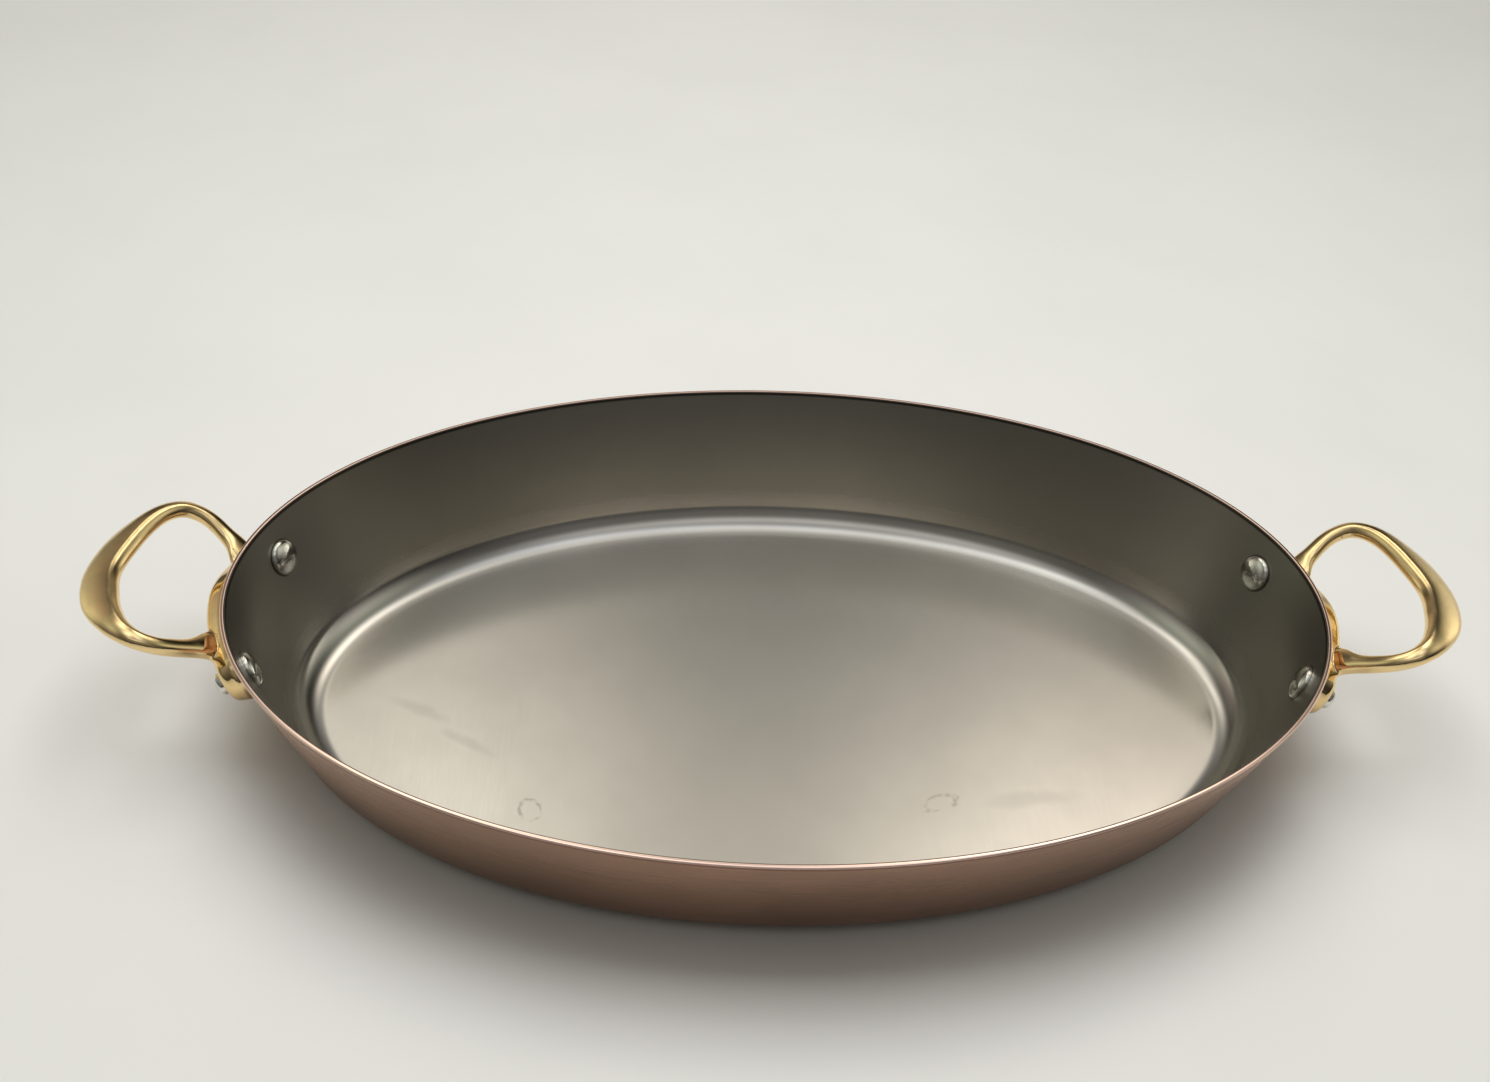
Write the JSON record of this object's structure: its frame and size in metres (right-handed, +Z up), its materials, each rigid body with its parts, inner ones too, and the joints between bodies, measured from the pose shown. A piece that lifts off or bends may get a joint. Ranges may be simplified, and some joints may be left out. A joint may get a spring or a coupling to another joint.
{
  "type": "gratin pan",
  "caption": "Shallow oval copper gratin pan with flared walls, a bonded steel lining and a riveted cast bronze loop handle at each end.",
  "frame": {"origin": "on the table, under the middle of the pan's flat floor", "axes": "+X along the length, through both handles; +Y across the pan; +Z up"},
  "size_m": [0.436, 0.23, 0.0571],
  "materials": {
    "copper": "brushed copper, dull on the wall and polished on the rim's edge",
    "lining": "satin",
    "bronze": "cast and polished, satin on the grip",
    "rivet": "polished"
  },
  "bodies": {
    "root": {"copper_body": "copper", "steel_lining": "lining", "right_handle": "bronze", "left_handle": "bronze", "right_front_rivet": "rivet", "right_back_rivet": "rivet", "left_front_rivet": "rivet", "left_back_rivet": "rivet"}
  },
  "joints": []
}
